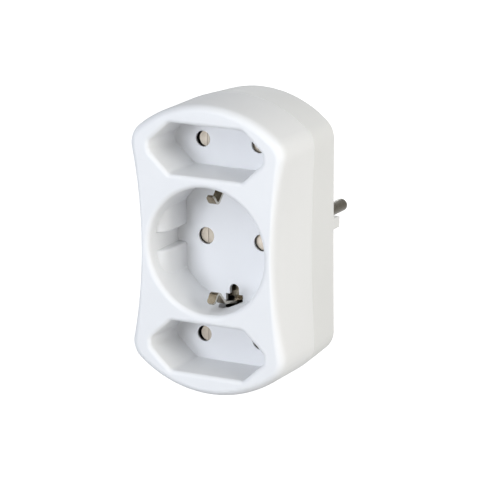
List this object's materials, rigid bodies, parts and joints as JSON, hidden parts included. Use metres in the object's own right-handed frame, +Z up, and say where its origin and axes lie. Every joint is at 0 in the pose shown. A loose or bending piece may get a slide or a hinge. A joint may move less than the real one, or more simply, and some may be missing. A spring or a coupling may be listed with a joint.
{
  "type": "plug adapter",
  "caption": "White mains plug adapter with a waisted housing, a round earthed socket well between flat two-pin wells, and a round earthed plug on its back.",
  "frame": {"origin": "centre of the plug's end face, midway between the two pins where they leave it", "axes": "+Y along the pins towards the wall, +Z up along the adapter's height, +X to the right seen from the front"},
  "size_m": [0.0524, 0.0714, 0.0896],
  "materials": {
    "front_shell": "satin white moulding",
    "rear_shell": "satin white moulding",
    "contact_strip": "nickel plated sheet",
    "plug_pin": "nickel plated, turned",
    "earth_strap": "nickel plated spring sheet",
    "rivet": "plain",
    "screw": "zinc plated"
  },
  "bodies": {
    "root": {"front_shell": "front_shell", "rear_shell": "rear_shell", "live_strip": "contact_strip", "neutral_strip": "contact_strip", "live_pin_strap": "contact_strip", "neutral_pin_strap": "contact_strip", "live_pin": "plug_pin", "neutral_pin": "plug_pin", "socket_earth_strap": "earth_strap", "plug_earth_strap": "earth_strap", "strap_rivets": "rivet", "housing_screws": "screw"}
  },
  "joints": []
}
